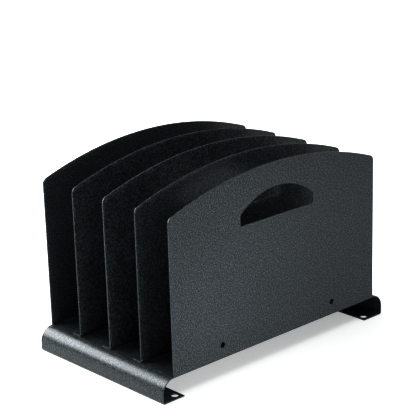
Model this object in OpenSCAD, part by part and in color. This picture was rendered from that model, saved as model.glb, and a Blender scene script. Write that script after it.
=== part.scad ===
// Desktop file rack: five upright sheet-steel dividers on a bent steel base.
// Millimetres, +Z up. The origin is on the floor under the middle of the base.
// The front panel faces -Y and the rolled sides of the base run along Y.

/* [Overall] */
// Width across the rolled sides of the base, X
overall_width = 298; // [220:1:420]
// Depth from the front panel's face to the back panel's face, Y
overall_depth = 180; // [120:1:320]
// Thickness of the steel sheet that every piece is bent from
sheet = 1.2; // [0.8:0.1:2]

/* [Base] */
// Height of the base's flat top above the floor
base_height = 23; // [18:0.5:60]
// Outside radius of the rolled sides
roll_radius = 14; // [6:0.5:20]
// Inside radius of the bend between a side wall and its foot
foot_bend = 1.2; // [0.4:0.1:3]
// Width of each foot, measured inward from the side wall's outer face
foot_width = 26; // [14:0.5:60]

/* [Foot holes] */
// Diameter of the screw holes in the feet
foot_hole_d = 7; // [3:0.1:8]
// Distance from a foot hole's centre to the foot's free edge
foot_hole_margin = 6; // [5:0.5:9]
// Distance from a foot hole's centre to the open end of the base
foot_hole_end = 6.5; // [5:0.5:40]

/* [Uprights] */
// Height of an upright's straight side above the base's top
side_height = 148; // [80:1:260]
// How far the arched top edge rises above the straight sides
arch_rise = 24.3; // [10:0.1:60]
// Radius of the two rounded top corners
corner_radius = 6; // [1:0.5:20]
// Width of the flange that a divider stands on, measured from the divider's face
flange_width = 12; // [8:0.5:20]
// Inside radius of the bend between a divider and its flange
flange_bend = 0.6; // [0.4:0.1:2]

/* [Hand opening] */
// Width of the hand opening
hand_width = 96; // [60:1:140]
// Height of the opening's straight sides
hand_side = 10.5; // [5:0.5:30]
// How far the opening's arched upper edge rises above its straight sides
hand_rise = 18; // [8:0.5:30]
// Height of the sheet left above the middle of the opening
hand_strap = 23.5; // [10:0.5:50]
// Radius of the opening's four corners
hand_corner = 2; // [0.5:0.5:5]

/* [Panel holes] */
// Diameter of the two small holes low in each upright
panel_hole_d = 5.8; // [3:0.1:8]
// Distance between the two holes
panel_hole_spacing = 148; // [60:1:240]
// Height of the holes above the base's top
panel_hole_height = 12; // [6:0.5:40]

/* [Welds] */
// Number of welds along each upright
weld_count = 5; // [2:1:9]
// Distance from an upright's side to the middle of its first weld
weld_end = 20; // [10:1:40]
// Diameter of the shallow dent that a divider's spot weld leaves
weld_d = 5; // [3:0.1:6]
// Depth of the dent, in the flange's top and in the base's underside
weld_depth = 0.15; // [0.1:0.05:0.3]
// Length of a weld bead in the corner behind the front and back panels
bead_length = 14; // [6:1:18]
// Height and width of a bead
bead_leg = 1.8; // [1:0.1:3]

/* [Hidden] */
$fn = 96;
// An upright is as wide as the flat part of the base's top
panel_width = overall_width - 2 * roll_radius;
half_width = overall_width / 2;
half_depth = overall_depth / 2;
foot_hole_x = half_width - foot_width + foot_hole_margin;
// Uprights are equally spaced, front panel to back panel
gaps = 4;
pitch = (overall_depth - sheet) / gaps;
// How far a cutting shape runs past the faces it cuts
past = 1;
// A rounding reaches this little past an arch, so that the two curves cross cleanly
crossing = 0.0005;
// The dent is this much narrower at its bottom than at the surface
weld_slope = 0.8;
weld_spacing = (panel_width - 2 * weld_end) / (weld_count - 1);
// Welds run along the middle of the flange's flat part
weld_y = (flange_width + flange_bend + sheet) / 2;
upright_height = side_height + arch_rise;
hand_bottom = upright_height - hand_strap - hand_rise - hand_side;
// A bead's face is hollow, with this radius
bead_r = 2 * bead_leg;
coat_colour = [0.13, 0.14, 0.15];

// The waste outside a rounded corner that points to -X and -Y, at the origin
module corner_waste(r) {
    difference() {
        translate([-past, -past]) square(r + past);
        translate([r, r]) circle(r);
    }
}

// A w by h rectangle on the X axis with rounded upper and lower corners
module rounded_section(w, h, upper_r, lower_r) {
    difference() {
        translate([-w / 2, 0]) square([w, h]);
        for (side = [0, 1]) mirror([side, 0]) {
            translate([-w / 2, 0]) corner_waste(lower_r);
            translate([-w / 2, h]) mirror([0, 1]) corner_waste(upper_r);
        }
    }
}

// An outline with a flat lower edge on the X axis, straight sides and an arched top.
// upper_r rounds the corners where the sides meet the arch, tangent to both.
module arched_outline(w, side_h, rise, upper_r) {
    arch_r = pow(w, 2) / (8 * rise) + rise / 2;
    // centre of the arch
    arch_y = side_h + rise - arch_r;
    // centre of a corner's rounding
    cx = w / 2 - upper_r;
    cy = arch_y + sqrt(pow(arch_r - upper_r + crossing, 2) - pow(cx, 2));
    // a point past the arch, straight above the corner's centre as the arch sees it
    reach = (arch_r + upper_r) / (arch_r - upper_r);
    tx = cx * reach;
    ty = arch_y + (cy - arch_y) * reach;
    difference() {
        intersection() {
            translate([-w / 2, 0]) square([w, side_h + rise + past]);
            translate([0, arch_y]) circle(arch_r);
        }
        for (side = [0, 1]) mirror([side, 0]) difference() {
            polygon([[cx, cy], [w / 2 + past, cy], [w / 2 + past, ty], [tx, ty]]);
            translate([cx, cy]) circle(upper_r);
        }
    }
}

// The hand opening's outline, its lower edge on the X axis
module hand_outline() {
    difference() {
        arched_outline(hand_width, hand_side, hand_rise, hand_corner);
        for (side = [0, 1]) mirror([side, 0])
            translate([-hand_width / 2, 0]) corner_waste(hand_corner);
    }
}

// A divider's side view: X along the flange, Y up the leg
module divider_section() {
    outer = flange_bend + sheet;
    difference() {
        square([flange_width, upright_height + past]);
        corner_waste(outer);
        difference() {
            translate([sheet, sheet]) square([flange_width, upright_height + past]);
            intersection() {
                translate([sheet, sheet]) square(flange_bend);
                difference() {
                    square(outer);
                    translate([outer, outer]) circle(flange_bend);
                }
            }
        }
    }
}

// An upright's front view, its hand opening and its two holes included.
// The base's top is on the X axis, and the sheet starts this far below it.
module upright_outline(below) {
    difference() {
        translate([0, -below])
            arched_outline(panel_width, side_height + below, arch_rise, corner_radius);
        translate([0, hand_bottom]) hand_outline();
        for (side = [-1, 1])
            translate([side * panel_hole_spacing / 2, panel_hole_height])
                circle(d = panel_hole_d);
    }
}

// Puts its child at each weld along an upright
module at_welds() {
    for (i = [0 : weld_count - 1])
        translate([weld_end + i * weld_spacing - panel_width / 2, 0, 0]) children();
}

// One divider's row of weld dents, cut down into a surface on Z = 0
module weld_dents() {
    at_welds() translate([0, weld_y, -weld_depth])
        cylinder(d1 = weld_d - weld_slope, d2 = weld_d + weld_slope, h = 2 * weld_depth);
}

// A divider, standing on the base's top, its face on Y = 0 and its flange towards +Y
module divider() {
    translate([0, 0, base_height]) difference() {
        intersection() {
            translate([-panel_width / 2, 0, 0])
                rotate([90, 0, 90]) linear_extrude(panel_width) divider_section();
            translate([0, flange_width + past, 0]) rotate([90, 0, 0])
                linear_extrude(flange_width + 2 * past) upright_outline(0);
        }
        translate([0, 0, sheet]) weld_dents();
    }
}

// A weld bead's section, in the corner between the X and Y axes
module bead_section() {
    // centre of the hollow face's arc, which ends a leg away on both axes
    c = bead_leg / 2 + sqrt(pow(bead_r, 2) - pow(bead_leg, 2) / 2) / sqrt(2);
    difference() {
        polygon([[0, 0], [bead_leg, 0], [0, bead_leg]]);
        translate([c, c]) circle(bead_r);
    }
}

// The front panel, its face on Y = 0: a flat sheet that closes the notch in the base's end,
// its lower edge flush with the underside of the base's top, and the beads behind it
module end_panel() {
    translate([0, 0, base_height]) {
        translate([0, sheet, 0]) rotate([90, 0, 0]) linear_extrude(sheet) upright_outline(sheet);
        at_welds() translate([-bead_length / 2, sheet, 0]) rotate([90, 0, 90])
            linear_extrude(bead_length) bead_section();
    }
}

// Puts its child where upright number k stands, counted from the front panel
module at_upright(k) {
    translate([0, k * pitch - half_depth, 0]) children();
}

// The same welds seen from below, in the underside of the base's top
module underside_dents() {
    translate([0, 0, base_height - sheet]) mirror([0, 0, 1]) weld_dents();
}

module base() {
    inner_upper = roll_radius - sheet;
    foot_gap = overall_width - 2 * foot_width;
    color(coat_colour) difference() {
        translate([0, half_depth, 0]) rotate([90, 0, 0]) linear_extrude(overall_depth)
            difference() {
                rounded_section(overall_width, base_height, roll_radius, foot_bend + sheet);
                translate([0, sheet])
                    rounded_section(overall_width - 2 * sheet, base_height - 2 * sheet,
                                    inner_upper, foot_bend);
                translate([-foot_gap / 2, -past]) square([foot_gap, sheet + 2 * past]);
            }
        for (x = [-1, 1], y = [-1, 1])
            translate([x * foot_hole_x, y * (half_depth - foot_hole_end), -past])
                cylinder(d = foot_hole_d, h = sheet + 2 * past);
        for (k = [1 : gaps - 1]) at_upright(k) underside_dents();
        // the end panels' lower edges fill these notches
        for (side = [0, 1]) mirror([0, side, 0])
            translate([-panel_width / 2, -half_depth - past, base_height - 2 * sheet])
                cube([panel_width, sheet + past, 2 * sheet + past]);
    }
}

module front_panel() {
    color(coat_colour) at_upright(0) end_panel();
}

module divider_front() {
    color(coat_colour) at_upright(1) divider();
}

module divider_middle() {
    color(coat_colour) at_upright(2) divider();
}

module divider_rear() {
    color(coat_colour) at_upright(3) divider();
}

// The front panel turned round
module back_panel() {
    color(coat_colour) mirror([0, 1, 0]) at_upright(0) end_panel();
}

base();
front_panel();
divider_front();
divider_middle();
divider_rear();
back_panel();
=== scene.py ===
import math

import bpy
from mathutils import Matrix, Vector

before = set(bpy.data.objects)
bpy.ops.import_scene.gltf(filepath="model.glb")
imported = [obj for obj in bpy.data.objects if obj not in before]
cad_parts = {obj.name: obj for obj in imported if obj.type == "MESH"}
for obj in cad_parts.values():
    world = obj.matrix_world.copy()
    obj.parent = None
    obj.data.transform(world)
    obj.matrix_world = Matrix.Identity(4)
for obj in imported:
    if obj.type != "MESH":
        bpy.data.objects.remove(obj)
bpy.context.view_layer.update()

MM = 0.001
WHITE = (1, 1, 1, 1)
# Every CAD node: the bent base and the five uprights, front to back
PIECES = ["base", "front_panel", "divider_front", "divider_middle", "divider_rear", "back_panel"]


# --- Camera -----------------------------------------------------------------

# Place and far limit in metres, angles in degrees, focal length in millimetres
CAMERA_PLACE = (-0.91346, -0.99038, 0.56382)
CAMERA_YAW = 42.530
CAMERA_PITCH = 17.835
CAMERA_ROLL = 1.693
CAMERA_LENS = 125.52
CAMERA_FAR = 50


def add_camera(place, yaw, pitch, roll, lens):
    """A camera at place that looks along yaw (from +Y towards +X) and pitch (down).

    The angles are in radians, and roll turns the camera's right side down.
    """
    ahead = Vector((math.sin(yaw) * math.cos(pitch), math.cos(yaw) * math.cos(pitch),
                    -math.sin(pitch)))
    right = Vector((math.cos(yaw), -math.sin(yaw), 0))
    down = ahead.cross(right)
    right, down = (math.cos(roll) * right + math.sin(roll) * down,
                   math.cos(roll) * down - math.sin(roll) * right)
    data = bpy.data.cameras.new("camera")
    data.lens = lens
    data.clip_end = CAMERA_FAR
    camera = bpy.data.objects.new("camera", data)
    turn = Matrix((right, -down, -ahead)).transposed().to_4x4()
    camera.matrix_world = Matrix.Translation(place) @ turn
    bpy.context.scene.collection.objects.link(camera)
    bpy.context.scene.camera = camera


add_camera(Vector(CAMERA_PLACE), math.radians(CAMERA_YAW), math.radians(CAMERA_PITCH),
           math.radians(CAMERA_ROLL), CAMERA_LENS)


# --- Node helpers -----------------------------------------------------------

class Tree:
    """Builds a material's node tree with short calls."""

    def __init__(self, name):
        self.material = bpy.data.materials.new(name)
        self.material.use_nodes = True
        self.nodes = self.material.node_tree.nodes
        self.links = self.material.node_tree.links
        self.nodes.clear()
        self.output = self.add("ShaderNodeOutputMaterial")
        self.shader = self.add("ShaderNodeBsdfPrincipled")
        self.link(self.shader.outputs["BSDF"], self.output.inputs["Surface"])

    def add(self, kind, **settings):
        node = self.nodes.new(kind)
        for key, value in settings.items():
            setattr(node, key, value)
        return node

    def link(self, source, target):
        """Joins a socket to target, or sets target to a plain value."""
        if isinstance(source, bpy.types.NodeSocket):
            self.links.new(source, target)
        else:
            target.default_value = source

    def maths(self, operation, a, b):
        node = self.add("ShaderNodeMath", operation=operation)
        self.link(a, node.inputs[0])
        self.link(b, node.inputs[1])
        return node.outputs[0]

    def noise(self, place, scale, detail, roughness=0.5):
        node = self.add("ShaderNodeTexNoise")
        self.link(place, node.inputs["Vector"])
        node.inputs["Scale"].default_value = scale
        node.inputs["Detail"].default_value = detail
        node.inputs["Roughness"].default_value = roughness
        return node.outputs["Fac"]

    def ramp(self, value, low, high, to_low=0.0, to_high=1.0):
        """A smooth rise from to_low, where value is low, to to_high, where it is high."""
        node = self.add("ShaderNodeMapRange", interpolation_type="SMOOTHSTEP")
        self.link(value, node.inputs["Value"])
        for key, number in (("From Min", low), ("From Max", high),
                            ("To Min", to_low), ("To Max", to_high)):
            node.inputs[key].default_value = number
        return node.outputs["Result"]

    def mix(self, share, a, b):
        node = self.add("ShaderNodeMix", data_type="RGBA")
        self.link(share, node.inputs["Factor"])
        self.link(a, node.inputs["A"])
        self.link(b, node.inputs["B"])
        return node.outputs["Result"]


# --- Powder coat ------------------------------------------------------------

# Colours, linear RGB and alpha
GROUND_DARK = (0.007, 0.0090, 0.0102, 1)
GROUND_LIGHT = (0.010, 0.0125, 0.014, 1)
GRAIN_COLOUR = (0.084, 0.099, 0.107, 1)
SPECK_COLOUR = (0.13, 0.15, 0.16, 1)
# Lighter coat along the edges: partly coat worn thin, partly a painted highlight where the sheet
# edges catch the light
WORN_HIGHLIGHT_COLOUR = (0.085, 0.098, 0.105, 1)
# A trace of blue in the coat's reflections
GLOSS_TINT = (0.90, 0.96, 1.0, 1)

# Scales of the noises: a higher one is finer
GRAIN_SCALE = 800
FINE_GRAIN_SCALE = 1700
SPECK_SCALE = 900
PATCH_SCALE = 14
WORN_HIGHLIGHT_SCALE = 130
# How much each grain counts in the mottle
GRAIN_SHARE = 0.65
FINE_GRAIN_SHARE = 0.35
# The noise values between which each mask rises from none to full
GRAIN_RANGE = (0.45, 0.63)
SPECK_RANGE = (0.68, 0.80)
PATCH_RANGE = (0.3, 0.7)
GLOSS_RANGE = (0.4, 0.6)
WORN_HIGHLIGHT_RANGE = (0.35, 0.65)

# Roughness from patch to patch, and how far the mottle and the wear change it
ROUGHNESS_LOW = 0.30
ROUGHNESS_HIGH = 0.36
MOTTLE_ROUGHNESS = 0.015
WEAR_ROUGHNESS = 0.06
# How high the grain stands
BUMP_HEIGHT = 0.09 * MM
COAT_IOR = 1.5

# How far from an edge the coat is worn and made lighter with a painted edge highlight
WORN_HIGHLIGHT_RADIUS = 0.9 * MM
WORN_HIGHLIGHT_SAMPLES = 8
# Cosines of the angle that an edge's rounding turns the surface by: no wear and no painted edge
# highlight, full wear and full painted edge highlight
WORN_HIGHLIGHT_TURN = (0.97, 0.80)
# The least and most wear and painted edge highlight along an edge
WORN_HIGHLIGHT_LOW = 0.25
WORN_HIGHLIGHT_HIGH = 0.9


def worn_and_highlighted_edges(t, place):
    """How worn and how much lighter the coat is at its edges: where it goes over an edge it is
    thin and rubbed in places, and lighter as a painted highlight of the edge catching the light.
    """
    rounded = t.add("ShaderNodeBevel", samples=WORN_HIGHLIGHT_SAMPLES)
    rounded.inputs["Radius"].default_value = WORN_HIGHLIGHT_RADIUS
    away = t.add("ShaderNodeVectorMath", operation="DOT_PRODUCT")
    t.link(rounded.outputs["Normal"], away.inputs[0])
    t.link(t.add("ShaderNodeNewGeometry").outputs["Normal"], away.inputs[1])
    edge = t.ramp(away.outputs["Value"], *WORN_HIGHLIGHT_TURN)
    broken = t.ramp(t.noise(place, WORN_HIGHLIGHT_SCALE, 3.0, 0.6), *WORN_HIGHLIGHT_RANGE, WORN_HIGHLIGHT_LOW, WORN_HIGHLIGHT_HIGH)
    return t.maths("MULTIPLY", edge, broken)


def powder_coat():
    """Charcoal powder coat with a fine texture: a dark ground, pale grains, a lumpy surface."""
    t = Tree("powder_coat_charcoal")
    place = t.add("ShaderNodeTexCoord").outputs["Object"]
    grain = t.noise(place, GRAIN_SCALE, 1.0)
    fine = t.noise(place, FINE_GRAIN_SCALE, 1.0)
    patches = t.noise(place, PATCH_SCALE, 3.0)
    mottle = t.maths("ADD", t.maths("MULTIPLY", grain, GRAIN_SHARE),
                     t.maths("MULTIPLY", fine, FINE_GRAIN_SHARE))
    ground = t.mix(t.ramp(patches, *PATCH_RANGE), GROUND_DARK, GROUND_LIGHT)
    colour = t.mix(t.ramp(mottle, *GRAIN_RANGE), ground, GRAIN_COLOUR)
    specks = t.ramp(t.noise(place, SPECK_SCALE, 0.0), *SPECK_RANGE)
    colour = t.mix(specks, colour, SPECK_COLOUR)
    # The edges get a lighter colour: partly worn coat, partly a painted highlight of the edges
    # catching the light
    worn_and_highlighted = worn_and_highlighted_edges(t, place)
    colour = t.mix(worn_and_highlighted, colour, WORN_HIGHLIGHT_COLOUR)
    t.link(colour, t.shader.inputs["Base Color"])
    rough = t.maths("ADD", t.ramp(patches, *PATCH_RANGE, ROUGHNESS_LOW, ROUGHNESS_HIGH),
                    t.ramp(mottle, *GLOSS_RANGE, -MOTTLE_ROUGHNESS, MOTTLE_ROUGHNESS))
    rough = t.maths("SUBTRACT", rough, t.maths("MULTIPLY", worn_and_highlighted, WEAR_ROUGHNESS))
    t.link(rough, t.shader.inputs["Roughness"])
    bump = t.add("ShaderNodeBump")
    bump.inputs["Strength"].default_value = 1.0
    bump.inputs["Distance"].default_value = BUMP_HEIGHT
    t.link(mottle, bump.inputs["Height"])
    t.link(bump.outputs["Normal"], t.shader.inputs["Normal"])
    t.shader.inputs["IOR"].default_value = COAT_IOR
    t.shader.inputs["Specular Tint"].default_value = GLOSS_TINT
    return t.material


# --- Sheet pieces -----------------------------------------------------------

# The small rounding of the sheet's cut edges
EDGE_RADIUS = 0.35 * MM
EDGE_SEGMENTS = 3
# Faces that meet at more than this many degrees have an edge to round
EDGE_ANGLE = 35
# Faces that meet at less than this many degrees are one flat face
FLAT_ANGLE = 0.5
WELD_DISTANCE = 0.001 * MM

coat = powder_coat()


def finish_sheet(node):
    """Rounds the pressed sheet's cut edges and gives it the coat."""
    for polygon in node.data.polygons:
        polygon.use_smooth = True
    weld = node.modifiers.new("weld", "WELD")
    weld.merge_threshold = WELD_DISTANCE
    flat = node.modifiers.new("flat_faces", "DECIMATE")
    flat.decimate_type = "DISSOLVE"
    flat.angle_limit = math.radians(FLAT_ANGLE)
    edge = node.modifiers.new("rounded_edges", "BEVEL")
    edge.width = EDGE_RADIUS
    edge.segments = EDGE_SEGMENTS
    edge.limit_method = "ANGLE"
    edge.angle_limit = math.radians(EDGE_ANGLE)
    edge.miter_outer = "MITER_ARC"
    node.modifiers.new("normals", "WEIGHTED_NORMAL").keep_sharp = False
    for slot in node.material_slots:
        slot.material = coat


for name in PIECES:
    finish_sheet(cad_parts[name])


# --- Studio -----------------------------------------------------------------

FLOOR_SIZE = 12
# Keeps the floor just clear of the feet's undersides
FLOOR_DROP = 0.02 * MM
FLOOR_DARK = (0.80, 0.80, 0.80, 1)
FLOOR_LIGHT = (0.82, 0.82, 0.82, 1)
FLOOR_PATCH_SCALE = 6
FLOOR_ROUGHNESS = 0.9
# The floor's glow, and the distances from the object's middle between which it grows
GLOW_LOW, GLOW_HIGH = 0.47, 0.8
GLOW_NEAR, GLOW_FAR = 0.9, 2.4

WORLD_STRENGTH = 0.42
VIEW_GAMMA = 0.64


def floor_material():
    """A pale floor that glows a little, more so far from the object, as a lit sweep does."""
    t = Tree("floor_white")
    place = t.add("ShaderNodeTexCoord").outputs["Object"]
    patches = t.noise(place, FLOOR_PATCH_SCALE, 3.0)
    t.link(t.mix(patches, FLOOR_DARK, FLOOR_LIGHT), t.shader.inputs["Base Color"])
    t.shader.inputs["Roughness"].default_value = FLOOR_ROUGHNESS
    t.shader.inputs["Emission Color"].default_value = WHITE
    distance = t.add("ShaderNodeVectorMath", operation="LENGTH")
    t.link(place, distance.inputs[0])
    t.link(t.ramp(distance.outputs["Value"], GLOW_NEAR, GLOW_FAR, GLOW_LOW, GLOW_HIGH),
           t.shader.inputs["Emission Strength"])
    return t.material


def add_floor(size):
    """A square floor under the object, size metres wide."""
    mesh = bpy.data.meshes.new("floor")
    half = size / 2
    corners = [(-half, -half, 0), (half, -half, 0), (half, half, 0), (-half, half, 0)]
    mesh.from_pydata(corners, [], [(0, 1, 2, 3)])
    mesh.materials.append(floor_material())
    floor = bpy.data.objects.new("floor", mesh)
    floor.location.z = -FLOOR_DROP
    bpy.context.scene.collection.objects.link(floor)


def aim(name, data, place, target):
    """A light with this data at place, aimed at target and unseen by the camera."""
    light = bpy.data.objects.new(name, data)
    light.location = place
    light.visible_camera = False
    light.rotation_euler = (Vector(place) - Vector(target)).to_track_quat("Z", "Y").to_euler()
    bpy.context.scene.collection.objects.link(light)


def add_softbox(name, place, target, width, height, radiance):
    """A rectangular area light at place, aimed at target, as bright as radiance face on."""
    data = bpy.data.lights.new(name, "AREA")
    data.shape = "RECTANGLE"
    data.size, data.size_y = width, height
    data.energy = radiance * math.pi * width * height
    aim(name, data, place, target)


def add_spot(name, place, target, cone, radius, strength):
    """A soft-edged spot light at place, aimed at target.

    cone is its full angle in degrees, and strength is what it sends along its axis.
    """
    data = bpy.data.lights.new(name, "SPOT")
    data.energy = 4 * math.pi * math.pi * strength
    data.spot_size = math.radians(cone)
    data.spot_blend = 1.0
    data.shadow_soft_size = radius
    aim(name, data, place, target)


world = bpy.data.worlds.new("studio")
world.use_nodes = True
background = world.node_tree.nodes["Background"]
background.inputs["Color"].default_value = WHITE
background.inputs["Strength"].default_value = WORLD_STRENGTH
bpy.context.scene.world = world
bpy.context.scene.view_settings.view_transform = "Standard"
bpy.context.scene.view_settings.gamma = VIEW_GAMMA

add_floor(FLOOR_SIZE)
# name, place, target, width, height, radiance
add_softbox("back_left", (-0.60, 1.14, 0.79), (-0.14, 0, 0.02), 1.35, 0.75, 13.8)
add_softbox("overhead", (0, 0, 1.8), (0, 0, 0.001), 1.6, 1.6, 0.5)
add_softbox("top_front", (-0.2, -0.6, 1.3), (0, 0, 0.08), 0.6, 0.4, 8)
# name, place, target, cone, radius, strength
add_spot("front", (-0.15, -1.7, 0.20), (-0.09, -0.09, 0.08), 11, 0.12, 4.3)
add_spot("front_left", (-0.4, -1.7, 0.20), (-0.08, -0.09, 0.07), 10, 0.12, 1.0)
